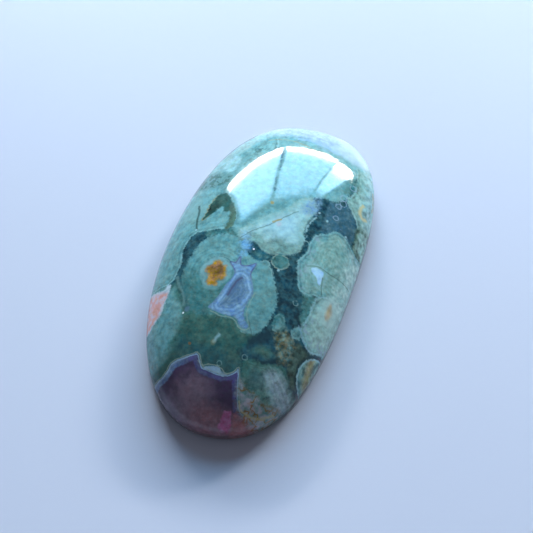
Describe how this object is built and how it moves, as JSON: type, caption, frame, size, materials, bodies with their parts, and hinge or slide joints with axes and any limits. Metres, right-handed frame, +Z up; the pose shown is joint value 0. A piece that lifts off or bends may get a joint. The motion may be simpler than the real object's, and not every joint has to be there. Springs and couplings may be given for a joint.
{
  "type": "rainforest jasper cabochon",
  "caption": "Long oval cabochon of polished rainforest jasper with a low dome, a thin girdle and a flat back, to rest or to be set in a bezel.",
  "frame": {"origin": "middle of the flat back, on the surface that the stone rests on", "axes": "+Z up out of the dome, Y along the stone with +Y at its fuller far end, X across it"},
  "size_m": [0.02, 0.0378, 0.0068],
  "materials": {
    "jasper_polish": "glassy polish on a green stone with pale round orbs, blue agate pockets, a purple end and rust veins; the flat back is fine ground"
  },
  "bodies": {
    "root": {"cabochon": "jasper_polish"}
  },
  "joints": []
}
